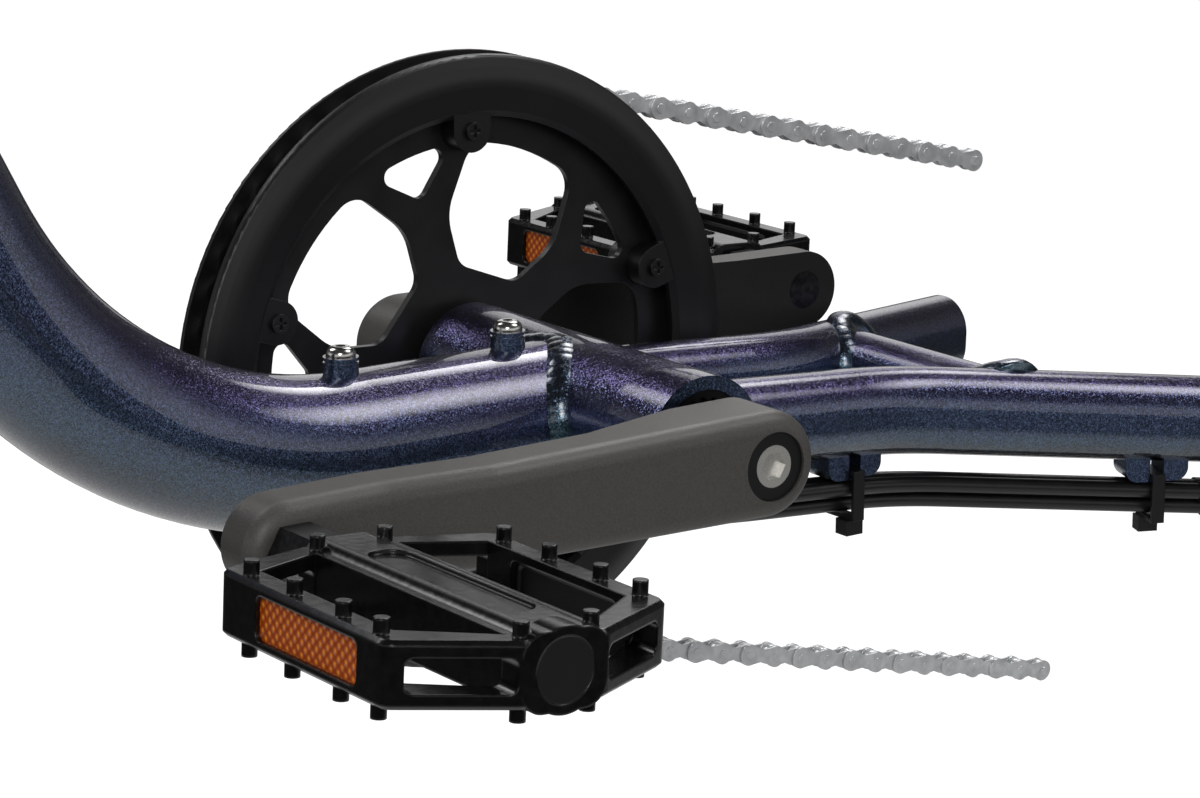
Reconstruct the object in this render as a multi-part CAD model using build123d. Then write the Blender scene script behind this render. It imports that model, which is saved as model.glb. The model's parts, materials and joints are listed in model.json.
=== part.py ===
"""Crank drive of an electric fat bike, in the bottom-bracket section of its frame.

Lengths are in millimetres. The pieces are drawn round the bottom-bracket axle's centre, with +X towards the
front of the bike, +Y to its left and +Z up, and are then moved so that the origin is the centre of the main
tube's cut front end, where the section is held.
"""
import os
from math import atan2, cos, degrees, radians, sin, tan

from build123d import *

# Frame tubes
TUBE_D = 50.8
TUBE_WALL = 2.4
TUBE_DROP = 4.6            # main tube's axis below the axle
TUBE_STRAIGHT = 85.0       # axle to the start of the bend
TUBE_BEND_R = 156.0        # on the tube's axis
TUBE_BEND_DEG = 63.0
TUBE_NECK = 80.0           # straight length in front of the bend
SHELL_D = 43.6
SHELL_WIDTH = 132.0
SHELL_SHIFT = 7.0          # shell's middle, left of the main tube's
SHELL_BORE_D = 34.6
STAY_W = 26.0
STAY_H = 30.0
STAY_CORNER_R = 12.5
STAY_WALL = 2.0
STAY_Y = 31.0              # stay's axis at the shell
STAY_Z = -6.0              # stay's axis at the shell
STAY_BEND_X = -112.0
STAY_BEND_Z = -13.5
STAY_BEND_R = 90.0
SECTION_X = -236.0         # rear cut of the section
STAY_END_Y = 84.0
STAY_END_Z = -25.0
BRIDGE_D = 22.0
BRIDGE_X = -153.0
BRIDGE_Z = -15.0

# Bottle bosses on top of the main tube
BOSS_PITCH = 64.0
BOSS_REAR_X = 25.0
BOSS_D = 11.4
BOSS_RISE = 5.6
BOSS_GROOVE = 0.7
SCREW_D = 5.0
SCREW_HEAD_D = 9.6
SCREW_HEAD_H = 3.4
SCREW_HEX = 3.0

# Bottom bracket
CUP_SINK = 1.0             # cup's face inside the shell's end
CUP_DEPTH = 16.0
CUP_SOCKET_D = 26.6        # splined socket for the spanner
CUP_SOCKET_DEPTH = 6.0
CUP_NOTCHES = 20
CUP_NOTCH_D = 2.8
SPINDLE_D = 17.0
TAPER_SQUARE = 12.7
JOURNAL_PROUD = 1.0        # round part of the spindle beyond the shell
RUN_GAP = 0.06             # radial clearance of a turning fit
SEAT_GAP = 0.05            # clearance of a fixed fit

# Crank arms
CRANK_LENGTH = 170.0
CRANK_AXLE_R = 17.0        # arm's end round the axle
CRANK_PEDAL_R = 14.5       # arm's end round the pedal thread
CRANK_CLEAR = 7.3          # right arm from the outer guard
CRANK_BOSS_T = 25.0        # thickness at the axle
CRANK_ARM_T = 17.0
CRANK_TOE_IN = 5.0         # outer face's step at the pedal end, away from the pedal
CRANK_EDGE_R = 5.8
BOLT_HEAD_D = 13.4
BOLT_HEX = 8.0
EXTRACTOR_D = 22.0
DUST_RING_H = 3.0
RECESS_DEPTH = 1.0         # bolt and ring below the arm's face

# Chainring, chain and guards
PITCH = 12.7
TEETH = 48
RING_CLEAR = 5.7           # chainring from the shell
RING_T = 2.6
RING_HUB_R = 34.0
RING_BAND_W = 21.1         # toothed band, in from the pitch circle
ARMS = 5
ARM_W = 17.0
ARM_LEAN_DEG = 15.0        # arm ahead of its screw tab
FORK_R = 52.0              # where an arm starts to fork
FORK_DEG = 18.5            # outer edge of a fork's branch, from its arm
EYE_R = 60.0               # inner corner of the small window in a fork
EYE_DEG = 12.5             # half the small window, at the band
PETAL_CORNER_R = (7.0, 18.0, 9.0)    # large window, from hub to band
EYE_CORNER_R = 3.5
TOOTH_TOP = 4.0            # tooth above the pitch circle
TOOTH_FOOT = 5.2           # tooth below the pitch circle
TOOTH_ROOT = 4.2           # bottom of the gaps below the pitch circle
TOOTH_WIDTHS = (7.2, 3.8, 1.6)    # at the foot, at the pitch circle and at the tip
SCREW_TAB_R = 81.5
SCREW_TAB_DEG = 90.0
GUARD_R = 107.0
GUARD_IN_R = 86.0
GUARD_T = 5.2
GUARD_SEAT = 3.9           # screw's seat, from the guard's inner face
GUARD_GAP = 11.0           # between the two guards, across the chain
GUARD_TAB_W = 15.0
GUARD_SCREW_D = 6.4
GUARD_SCREW_H = 1.6
CROSS_L = 4.2              # cross recess in the screws
CROSS_W = 1.1
CROSS_DEPTH = 0.9
ROLLER_D = 7.7
CHAIN_IN = 3.3             # between inner plates
PLATE_T = 1.0
PLATE_H = 8.4
RUN_SLOPE_DEG = 13.0       # both runs fall towards the rear
UPPER_LINKS = 17
LOWER_LINKS = 24

# Pedals
PEDAL_L = 90.0             # fore and aft
PEDAL_W = 108.0            # inner end to outer end
PEDAL_GAP = 24.0           # crank's face to the pedal
PEDAL_T = 18.4
PEDAL_TILT_DEG = 3.0       # front edge up
PEDAL_CORNER_IN = 10.0     # inner corner's setback from the inner edge
PEDAL_CORNER_OUT = 17.0
PEDAL_NOSE = 26.0          # flat width at the inner and outer ends
PEDAL_BAR = 8.0
PEDAL_BEVEL = 1.2
PEDAL_CORNER_R = 5.0
POCKET_CORNER_R = 5.0
SPINE_W = 27.0
SPINE_H = 22.0
SPINE_CORNER_R = 7.0
PANEL_L = 70.0             # sunk panel along the spine
PANEL_W = 13.0
PANEL_DEPTH = 1.2
NOSE_BOSS_D = 24.0         # round the end cap
NOSE_BOSS_L = 9.0
END_WINDOW_L = 26.0        # windows in the slanted end walls
END_WINDOW_H = 9.6
END_WINDOW_R = 2.5
PIN_D = 4.4
PIN_H = 4.2
PIN_ROOT = 1.0             # pin sunk in the cage
PIN_ROW = (-34.0, -12.0, 12.0, 30.0)    # along the front and rear bars, from the pedal's middle
PIN_NOSE = (11.0, 5.0)     # at the ends: aside from the axle, and in from the end
CAP_D = 18.0
CAP_H = 2.0
REFLECTOR_L = 50.0
REFLECTOR_H = 12.6
REFLECTOR_T = 3.0
REFLECTOR_SET = 1.5        # reflector's face behind the cage's
AXLE_D = 14.2
AXLE_FLAT = 17.0           # across the spanner flats
AXLE_SHORT = 2.0           # axle and its flats from the cage's ends

# Cables below the left stay
CABLE_D = 5.6
CABLE_DROP = 10.4          # bundle's upper cables below the stay
CABLE_DIP = 2.0            # below the stay's line, beside the shell
CABLE_END_X = -224.0
BEND_SHARE = 0.45          # of the shorter run, taken by a bend
FITTING_D = 6.8            # on the cables' rear ends
PLUG_L = 22.0
FERRULE_L = 14.0
CABLE_GAP = 2.4            # between the two upper cables
CABLE_NEST = 6.0           # third cable below the other two
PORT_X = 40.0              # where the cables leave the main tube
PORT_L = 20.0
PORT_W = 20.0
PORT_H = 10.0
PORT_DROP = 6.0            # cables below the main tube
GUIDE_L = 23.0
GUIDE_CORNER_R = 4.6
GUIDE_FLOOR = 1.6
GUIDE_GAP = 1.0            # over the cables
GUIDE_X = (-92.0, -200.0)
TIE_W = 4.6
TIE_T = 1.4
TIE_GAP = 0.4              # round the cables
TIE_HEAD = (7.0, 6.0, 5.4)    # along, across and down

SHELL_LEFT_Y = SHELL_SHIFT + SHELL_WIDTH / 2
SHELL_RIGHT_Y = SHELL_SHIFT - SHELL_WIDTH / 2
CHAIN_Y = SHELL_RIGHT_Y - RING_CLEAR - RING_T / 2
CRANK_FACE_Y = -CHAIN_Y + GUARD_GAP / 2 + GUARD_T + CRANK_CLEAR + CRANK_BOSS_T
CRANK_TOE_Y = CRANK_FACE_Y - CRANK_TOE_IN
PEDAL_IN_Y = CRANK_TOE_Y + PEDAL_GAP
PEDAL_OUT_Y = PEDAL_IN_Y + PEDAL_W
CHAINRING_PITCH_R = PITCH / 2 / sin(radians(180 / TEETH))
RING_BAND_R = CHAINRING_PITCH_R - RING_BAND_W
TOOTH_DEG = 360 / TEETH
bend = radians(TUBE_BEND_DEG)
TUBE_END = Vector(TUBE_STRAIGHT + TUBE_BEND_R * sin(bend) + TUBE_NECK * cos(bend), 0,
                  -TUBE_DROP + TUBE_BEND_R * (1 - cos(bend)) + TUBE_NECK * sin(bend))
SIDES = {"left": 1, "right": -1}


def slab(profile, y_low, y_high):
    """A profile drawn in X and Z, as thick as from y_low to y_high."""
    return extrude(Plane.XZ.offset(-y_high) * profile, amount=y_high - y_low)


def rod(diameter, y_low, y_high, x=0.0, z=0.0):
    """A round bar along Y."""
    return slab(Pos(x, z) * Circle(diameter / 2), y_low, y_high)


def mirrored(shape, side):
    """The piece as drawn on the left, or its mirror image on the right."""
    return shape if side == 1 else mirror(shape, about=Plane.XZ)


def along(path, profile):
    """A profile swept from the start of a path, upright there."""
    start = Plane(path @ 0, x_dir=Vector(0, 0, 1).cross(path % 0), z_dir=path % 0)
    return sweep(start * profile, path=path)


def widest_radii(points):
    """For each corner of a route, the largest bend that its two runs leave room for."""
    radii = []
    for before, corner, after in zip(points, points[1:], points[2:]):
        run_in, run_out = Vector(corner) - Vector(before), Vector(after) - Vector(corner)
        half_turn = radians(run_in.get_angle(run_out)) / 2
        radii.append(BEND_SHARE * min(run_in.length, run_out.length) / tan(half_turn))
    return radii


# Frame

def main_tube_core(diameter):
    level = Line((0, 0, -TUBE_DROP), (TUBE_STRAIGHT, 0, -TUBE_DROP))
    curve = Edge.make_circle(TUBE_BEND_R, Plane((TUBE_STRAIGHT, 0, TUBE_BEND_R - TUBE_DROP), x_dir=(0, 0, -1),
                                                z_dir=(0, -1, 0)), start_angle=0, end_angle=TUBE_BEND_DEG)
    neck = Line(curve @ 1, tuple(TUBE_END))
    path = Wire([level.edge(), curve, neck.edge()])
    return sweep(Plane((0, 0, -TUBE_DROP), x_dir=(0, 1, 0), z_dir=(1, 0, 0)) * Circle(diameter / 2), path=path)


def stay_core(width, height, corner):
    path = FilletPolyline((0, STAY_Y, STAY_Z), (STAY_BEND_X, STAY_Y, STAY_BEND_Z),
                          (SECTION_X, STAY_END_Y, STAY_END_Z), radius=STAY_BEND_R)
    body = along(path, RectangleRounded(width, height, corner))
    beyond = Box(STAY_W, 4 * STAY_END_Y, 4 * STAY_H, align=(Align.MAX, Align.CENTER, Align.CENTER))
    return body - Pos(SECTION_X, 0, STAY_END_Z) * beyond


def stay_axis(x):
    """The stay's axis at a place along it: (Y, Z)."""
    if x > STAY_BEND_X:
        share = x / STAY_BEND_X
        return STAY_Y, STAY_Z + share * (STAY_BEND_Z - STAY_Z)
    share = (x - STAY_BEND_X) / (SECTION_X - STAY_BEND_X)
    return (STAY_Y + share * (STAY_END_Y - STAY_Y), STAY_BEND_Z + share * (STAY_END_Z - STAY_BEND_Z))


def frame_pieces():
    shell_solid = rod(SHELL_D, SHELL_RIGHT_Y, SHELL_LEFT_Y)
    tube_solid = main_tube_core(TUBE_D)
    stay_solid = stay_core(STAY_W, STAY_H, STAY_CORNER_R)
    stay = stay_solid - stay_core(STAY_W - 2 * STAY_WALL, STAY_H - 2 * STAY_WALL, STAY_CORNER_R - STAY_WALL)
    stay = stay - shell_solid
    reach, _ = stay_axis(BRIDGE_X)
    bridge = rod(BRIDGE_D, -reach, reach, BRIDGE_X, BRIDGE_Z)
    bridge -= rod(BRIDGE_D - 2 * STAY_WALL, -reach, reach, BRIDGE_X, BRIDGE_Z)
    bridge = bridge - stay_solid - mirrored(stay_solid, -1)
    bridge = bridge.solids().sort_by(lambda s: abs(s.center().Y))[0]
    pieces = {
        "main_tube": tube_solid - main_tube_core(TUBE_D - 2 * TUBE_WALL) - shell_solid,
        "bottom_bracket_shell": shell_solid - rod(SHELL_BORE_D, SHELL_RIGHT_Y, SHELL_LEFT_Y),
        "stay_bridge": bridge,
    }
    for name, side in SIDES.items():
        pieces[f"chainstay_{name}"] = mirrored(stay, side)
    bosses, screws = [], []
    tube_top = -TUBE_DROP + TUBE_D / 2
    for x in (BOSS_REAR_X, BOSS_REAR_X + BOSS_PITCH):
        post = Pos(x, 0, tube_top) * Cylinder(BOSS_D / 2, 2 * BOSS_RISE) - tube_solid
        groove = Cylinder(BOSS_D, BOSS_GROOVE) - Cylinder(BOSS_D / 2 - BOSS_GROOVE, BOSS_GROOVE)
        post = post - Pos(x, 0, tube_top + BOSS_RISE - 2 * BOSS_GROOVE) * groove
        bore = Pos(x, 0, tube_top) * Cylinder(SCREW_D / 2 + SEAT_GAP, 4 * BOSS_RISE)
        bosses.append((post - bore).solids().sort_by(Axis.Z)[-1])
        head = Pos(x, 0, tube_top + BOSS_RISE) * Cylinder(SCREW_HEAD_D / 2, SCREW_HEAD_H,
                                                         align=(Align.CENTER, Align.CENTER, Align.MIN))
        head = fillet(head.faces().sort_by(Axis.Z)[-1].edges(), SCREW_HEAD_H * 0.8)
        shank = Pos(x, 0, tube_top + BOSS_RISE) * Cylinder(SCREW_D / 2, BOSS_RISE * 0.8,
                                                          align=(Align.CENTER, Align.CENTER, Align.MAX))
        socket = Pos(x, 0, tube_top + BOSS_RISE + SCREW_HEAD_H) * extrude(
            RegularPolygon(SCREW_HEX / 2, 6, major_radius=False), amount=-SCREW_HEAD_H / 2)
        screws.append(head + shank - socket)
    pieces["bottle_bosses"] = Compound(bosses)
    pieces["boss_screws"] = Compound([s.solid() for s in screws])
    return pieces


def bottom_bracket_pieces():
    face = SHELL_WIDTH / 2 - CUP_SINK
    floor = face - CUP_SOCKET_DEPTH
    cup = rod(SHELL_BORE_D - 2 * SEAT_GAP, face - CUP_DEPTH, face)
    cup -= rod(SPINDLE_D + 2 * RUN_GAP, 0, face)
    cup -= rod(CUP_SOCKET_D, floor, face)
    notch = rod(CUP_NOTCH_D, floor, face, x=CUP_SOCKET_D / 2)
    for turn in range(CUP_NOTCHES):
        cup -= Rot(0, turn * 360 / CUP_NOTCHES, 0) * notch
    return {f"bb_cup_{name}": Pos(0, SHELL_SHIFT, 0) * mirrored(cup, side) for name, side in SIDES.items()}


# Crankset

def crank_arm():
    """The left arm, pointing forward from the axle at the origin."""
    face, back = CRANK_FACE_Y, CRANK_FACE_Y - CRANK_BOSS_T
    toe = CRANK_TOE_Y
    side = make_hull(Circle(CRANK_AXLE_R).edges() + (Pos(CRANK_LENGTH, 0) * Circle(CRANK_PEDAL_R)).edges())
    tail, tip = -1.5 * CRANK_AXLE_R, CRANK_LENGTH + 1.5 * CRANK_PEDAL_R
    boss_end = 1.35 * CRANK_AXLE_R
    toe_start, toe_end = CRANK_LENGTH - 4.6 * CRANK_PEDAL_R, CRANK_LENGTH - 2.2 * CRANK_PEDAL_R
    corners = [(tail, back), (boss_end, back), (2.6 * boss_end, face - CRANK_ARM_T),
               (toe_start, face - CRANK_ARM_T), (toe_end, toe - CRANK_ARM_T), (tip, toe - CRANK_ARM_T),
               (tip, toe), (toe_end, toe), (toe_start, face), (tail, face)]
    plan = make_face(Polyline(*corners, close=True))
    soft = [v for v in plan.vertices() if tail + 1 < v.X < tip - 1]
    plan = fillet(soft, CRANK_ARM_T)
    arm = slab(side, 0, 2 * face) & extrude(Pos(0, 0, -face) * plan, amount=2 * face)
    outer = [e for e in arm.edges() if e.center().Y > face - 0.6 * CRANK_ARM_T and abs(e.center().Z) > 1]
    outer += [e for e in arm.edges() if e.center().Y > toe - 0.3 * CRANK_ARM_T and abs(e.center().Z) <= 1
              and (e.center().X < 0 or e.center().X > CRANK_LENGTH)]
    arm = fillet(outer, CRANK_EDGE_R)
    square = slab(Rectangle(TAPER_SQUARE + 2 * SEAT_GAP, TAPER_SQUARE + 2 * SEAT_GAP), 0, face - RECESS_DEPTH)
    arm -= square
    arm -= rod(EXTRACTOR_D + 2 * SEAT_GAP, face - RECESS_DEPTH - DUST_RING_H, 2 * face)
    arm -= rod(AXLE_D + 2 * SEAT_GAP, 0, 2 * face, x=CRANK_LENGTH)
    return arm


def crank_bolt():
    top = CRANK_FACE_Y - RECESS_DEPTH
    head = rod(BOLT_HEAD_D, top - DUST_RING_H, top)
    socket = slab(RegularPolygon(BOLT_HEX / 2, 6, major_radius=False), top - DUST_RING_H * 0.8, top)
    return head - socket


def dust_ring():
    top = CRANK_FACE_Y - RECESS_DEPTH
    return rod(EXTRACTOR_D, top - DUST_RING_H, top) - rod(BOLT_HEAD_D + 2 * SEAT_GAP, top - DUST_RING_H, top)


def polar(radius, angle_deg):
    return (radius * cos(radians(angle_deg)), radius * sin(radians(angle_deg)))


def window(corners, radii, outer_r):
    """A window open towards +X and alike on both sides: its corners on one side, and an arc at the band."""
    other = [(x, -y) for x, y in corners]
    far_side = [point for point in other[::-1] if point not in corners]
    sides = Polyline(*far_side, *corners)
    arc = ThreePointArc(corners[-1], (outer_r, 0), other[-1])
    shape = make_face([*sides.edges(), *arc.edges()])
    for (x, y), radius in zip(corners, radii):
        near = [v for v in shape.vertices() if abs(v.X - x) < 0.01 and abs(abs(v.Y) - abs(y)) < 0.01]
        shape = fillet(near, radius)
    return shape


def ring_profile():
    """Toothed band, forked arms and hub, drawn as seen from the left."""
    heights = (-TOOTH_FOOT, 0.0, TOOTH_TOP)
    flank = [(CHAINRING_PITCH_R + height, width / 2) for height, width in zip(heights, TOOTH_WIDTHS)]
    tooth = make_face(Polyline(*flank, *[(r, -half) for r, half in flank[::-1]], close=True))
    first = 90 + RUN_SLOPE_DEG + TOOTH_DEG / 2
    plate = Circle(CHAINRING_PITCH_R - TOOTH_ROOT)
    plate += [Rot(0, 0, first + n * TOOTH_DEG) * tooth for n in range(TEETH)]
    half_turn = 180 / ARMS
    hub_along = (RING_HUB_R ** 2 - (ARM_W / 2) ** 2) ** 0.5
    edge = [polar(along, half_turn) for along in (hub_along, FORK_R)]
    aside = polar(ARM_W / 2, half_turn - 90)
    petal = [(x + aside[0], y + aside[1]) for x, y in edge] + [polar(RING_BAND_R, half_turn - FORK_DEG)]
    eye = [(EYE_R, 0.0), polar(RING_BAND_R, EYE_DEG)]
    for n in range(ARMS):
        arm = SCREW_TAB_DEG - ARM_LEAN_DEG + n * 360 / ARMS
        plate -= Rot(0, 0, arm + half_turn) * window(petal, PETAL_CORNER_R, RING_BAND_R)
        plate -= Rot(0, 0, arm) * window(eye, (EYE_CORNER_R, EYE_CORNER_R), RING_BAND_R)
    return plate


def guard(outward):
    """A guard ring and its screw tabs. outward is 1 for the one beside the frame, -1 for the outer one."""
    low, seat = GUARD_GAP / 2, GUARD_GAP / 2 + GUARD_SEAT
    width = GUARD_R - GUARD_IN_R
    corners = [(GUARD_IN_R, low), (GUARD_R, low), (GUARD_R, low + 0.45 * GUARD_T),
               (GUARD_R - 0.35 * width, low + GUARD_T), (GUARD_IN_R + 0.1 * width, low + 0.8 * GUARD_T),
               (GUARD_IN_R, low + 0.5 * GUARD_T)]
    profile = make_face(Polyline(*corners, close=True))
    for corner, radius in zip(corners[2:4], widest_radii(corners[1:5])):
        profile = fillet(profile.vertices().sort_by_distance(corner)[0], radius)
    ring = revolve(Plane.XY * profile, axis=Axis.Y)
    reach = GUARD_IN_R + 0.2 * width - SCREW_TAB_R
    foot = Pos(SCREW_TAB_R, 0) * Circle(GUARD_TAB_W / 2)
    arm = Pos(SCREW_TAB_R + reach / 2, 0) * Rectangle(abs(reach), GUARD_TAB_W)
    hole = Pos(SCREW_TAB_R, 0) * Circle(GUARD_SCREW_D / 4 + SEAT_GAP)
    head = Pos(SCREW_TAB_R, 0) * Circle(GUARD_SCREW_D / 2 + RUN_GAP)
    for turn in range(ARMS):
        place = Rot(0, 0, SCREW_TAB_DEG + turn * 360 / ARMS)
        ring += slab(place * foot, RING_T / 2, seat)
        ring += slab(place * arm, low, seat)
        ring -= slab(place * hole, 0, seat)
        ring -= slab(place * head, seat, seat + GUARD_T)
    ring = ring if outward == 1 else mirror(ring, about=Plane.XZ)
    return Pos(0, CHAIN_Y, 0) * ring


def crankset_pieces():
    reach = CRANK_FACE_Y - RECESS_DEPTH - DUST_RING_H
    square = Rectangle(TAPER_SQUARE, TAPER_SQUARE)
    journal_low, journal_high = SHELL_RIGHT_Y - JOURNAL_PROUD, SHELL_LEFT_Y + JOURNAL_PROUD
    spindle = rod(SPINDLE_D, journal_low, journal_high)
    spindle += slab(square, -reach, journal_low)
    spindle += slab(square, journal_high, reach)
    left = crank_arm()
    right = Rot(0, 180, 0) * mirrored(left, -1)
    ring_low = CHAIN_Y - RING_T / 2
    boss = rod(2 * CRANK_AXLE_R, -(CRANK_FACE_Y - CRANK_BOSS_T), ring_low)
    boss += rod(2 * CRANK_AXLE_R * 0.75, ring_low, ring_low + RING_T)
    boss -= slab(Rectangle(TAPER_SQUARE + 2 * SEAT_GAP, TAPER_SQUARE + 2 * SEAT_GAP), -CRANK_FACE_Y, 0)
    ring = slab(ring_profile() - Circle(CRANK_AXLE_R * 0.75 + SEAT_GAP), ring_low, ring_low + RING_T)
    heads = []
    for turn in range(ARMS):
        a = radians(SCREW_TAB_DEG + turn * 360 / ARMS)
        x, z = SCREW_TAB_R * cos(a), SCREW_TAB_R * sin(a)
        ring -= rod(GUARD_SCREW_D / 2 + 2 * SEAT_GAP, 2 * CHAIN_Y, 0, x, z)
        face = CHAIN_Y + GUARD_GAP / 2 + GUARD_SEAT
        far = CHAIN_Y - GUARD_GAP / 2 - GUARD_SEAT
        screw = rod(GUARD_SCREW_D, face, face + GUARD_SCREW_H, x, z) + rod(GUARD_SCREW_D / 2, far, face, x, z)
        top = face + GUARD_SCREW_H
        for cross in (Rectangle(CROSS_L, CROSS_W), Rectangle(CROSS_W, CROSS_L)):
            screw -= slab(Pos(x, z) * cross, top - CROSS_DEPTH, top)
        heads.append(screw)
    pieces = {
        "spindle": spindle,
        "crank_left": left,
        "crank_right": right + boss,
        "chainring": ring,
        "guard_inner": guard(1),
        "guard_outer": guard(-1),
        "guard_screws": Compound([h.solid() for h in heads]),
    }
    for name, side in SIDES.items():
        pieces[f"crank_bolt_{name}"] = mirrored(crank_bolt(), side)
        pieces[f"dust_ring_{name}"] = mirrored(dust_ring(), side)
        axle_x = side * CRANK_LENGTH
        axle = rod(AXLE_D, CRANK_TOE_Y - CRANK_ARM_T, PEDAL_OUT_Y - CAP_H - AXLE_SHORT, axle_x)
        flange = RegularPolygon(AXLE_FLAT / 2, 6, major_radius=False)
        axle += slab(Pos(axle_x, 0) * flange, CRANK_TOE_Y + SEAT_GAP, PEDAL_IN_Y - AXLE_SHORT)
        pieces[f"pedal_axle_{name}"] = mirrored(axle, side)
    return pieces


# Chain

def link_profile():
    """A six-cornered link plate, centred between its two pins."""
    half = PLATE_H / 2
    end = PITCH / 2 + half
    return make_face(Polyline((-end, 0), (-PITCH / 2, -half), (PITCH / 2, -half), (end, 0), (PITCH / 2, half),
                              (-PITCH / 2, half), close=True))


def chain_pins():
    """Pin places in X and Z: down the upper run to the chainring, round its front and along the lower run."""
    slope = radians(RUN_SLOPE_DEG)
    back = (-cos(slope), -sin(slope))
    start = radians(90 + RUN_SLOPE_DEG)
    wrap = [(CHAINRING_PITCH_R * cos(start - n * radians(TOOTH_DEG)),
             CHAINRING_PITCH_R * sin(start - n * radians(TOOTH_DEG))) for n in range(TEETH // 2 + 1)]
    (top_x, top_z), (low_x, low_z) = wrap[0], wrap[-1]
    step_x, step_z = PITCH * back[0], PITCH * back[1]
    upper = [(top_x + n * step_x, top_z + n * step_z) for n in range(UPPER_LINKS, 0, -1)]
    lower = [(low_x + n * step_x, low_z + n * step_z) for n in range(1, LOWER_LINKS + 1)]
    return upper, wrap, lower


def chain_stretch(pins, rollers, first_link):
    """Links between the given pins, inner and outer by turns, and a roller on each of the given places."""
    inner, outer = CHAIN_IN / 2, CHAIN_IN / 2 + PLATE_T
    solids = []
    for n, ((x0, z0), (x1, z1)) in enumerate(zip(pins, pins[1:])):
        gap = outer if (first_link + n) % 2 else inner
        place = Pos((x0 + x1) / 2, (z0 + z1) / 2) * Rot(0, 0, degrees(atan2(z1 - z0, x1 - x0)))
        plate = place * link_profile()
        solids += [slab(plate, CHAIN_Y + gap, CHAIN_Y + gap + PLATE_T),
                   slab(plate, CHAIN_Y - gap - PLATE_T, CHAIN_Y - gap)]
    roller = RegularPolygon(ROLLER_D / 2, 6)
    solids += [slab(Pos(x, z) * roller, CHAIN_Y - inner, CHAIN_Y + inner) for x, z in rollers]
    return solids[0].fuse(*solids[1:])


def chain_pieces():
    upper, wrap, lower = chain_pins()
    return {
        "chain_upper_run": chain_stretch(upper + wrap[:1], upper + wrap[:1], 0),
        "chain_wrap": chain_stretch(wrap, wrap[1:], UPPER_LINKS),
        "chain_lower_run": chain_stretch(wrap[-1:] + lower, lower, UPPER_LINKS + TEETH // 2),
    }


# Pedals

def pedal_outline(inset):
    """Plan of the pedal as X fore and aft and Y outward, drawn in by inset on every side."""
    half, nose = PEDAL_L / 2 - inset, PEDAL_NOSE / 2
    low, high = PEDAL_IN_Y + inset, PEDAL_OUT_Y - inset
    points = [(-nose, low), (nose, low), (half, low + PEDAL_CORNER_IN), (half, high - PEDAL_CORNER_OUT),
              (nose, high), (-nose, high), (-half, high - PEDAL_CORNER_OUT), (-half, low + PEDAL_CORNER_IN)]
    return make_face(Polyline(*points, close=True))


def pedal_cage():
    """Bars round two pockets, a spine round the axle, windows in the walls and pins on both faces."""
    middle = (PEDAL_IN_Y + PEDAL_OUT_Y) / 2
    half_t = PEDAL_T / 2
    outline = pedal_outline(0)
    cage = extrude(Pos(0, 0, -half_t) * fillet(outline.vertices(), PEDAL_CORNER_R), amount=PEDAL_T)
    rims = cage.faces().sort_by(Axis.Z)
    cage = chamfer(rims[0].edges() + rims[-1].edges(), PEDAL_BEVEL)
    pockets = pedal_outline(PEDAL_BAR) - Pos(0, middle) * Rectangle(SPINE_W, 2 * PEDAL_W)
    for pocket in pockets.faces():
        rounded = fillet(pocket.vertices(), POCKET_CORNER_R)
        cage -= extrude(Pos(0, 0, -PEDAL_T) * rounded, amount=2 * PEDAL_T)
    cage += slab(RectangleRounded(SPINE_W, SPINE_H, SPINE_CORNER_R), PEDAL_IN_Y, PEDAL_OUT_Y)
    cage += rod(NOSE_BOSS_D, PEDAL_OUT_Y - NOSE_BOSS_L, PEDAL_OUT_Y)
    panel = Pos(0, middle) * Rot(0, 0, 90) * SlotOverall(PANEL_L, PANEL_W)
    for top in (SPINE_H / 2 - PANEL_DEPTH, -SPINE_H / 2):
        cage -= extrude(Pos(0, 0, top) * panel, amount=PANEL_DEPTH)
    bar_face = PEDAL_L / 2
    window_x = (PEDAL_NOSE / 2 + bar_face - PEDAL_BAR / 2) / 2
    end_window = RectangleRounded(END_WINDOW_L, END_WINDOW_H, END_WINDOW_R)
    bar_window = Plane.YZ * RectangleRounded(REFLECTOR_L, REFLECTOR_H, END_WINDOW_R)
    for side in (1, -1):
        aside = Pos(side * window_x, 0) * end_window
        cage -= slab(aside, PEDAL_OUT_Y - PEDAL_CORNER_OUT - PEDAL_BAR, PEDAL_OUT_Y)
        cage -= slab(aside, PEDAL_IN_Y, PEDAL_IN_Y + PEDAL_CORNER_IN + PEDAL_BAR)
        cage -= Pos(side * bar_face, middle, 0) * extrude(bar_window, amount=PEDAL_BAR, both=True)
    row = bar_face - PEDAL_BAR / 2
    nose_x, nose_in = PIN_NOSE
    pins = [(row * side, middle + along) for side in (1, -1) for along in PIN_ROW]
    pins += [(nose_x * side, y) for side in (1, -1) for y in (PEDAL_OUT_Y - nose_in, PEDAL_IN_Y + nose_in)]
    pin = Cylinder(PIN_D / 2, PIN_H + PIN_ROOT, align=(Align.CENTER, Align.CENTER, Align.MIN))
    for x, y in pins:
        cage += Pos(x, y, half_t - PIN_ROOT) * pin
        cage += Pos(x, y, PIN_ROOT - half_t) * Rot(180, 0, 0) * pin
    cage -= rod(AXLE_D + 2 * RUN_GAP, PEDAL_IN_Y, PEDAL_OUT_Y - CAP_H)
    return cage - rod(CAP_D + 2 * SEAT_GAP, PEDAL_OUT_Y - CAP_H, PEDAL_OUT_Y + CAP_H)


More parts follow.
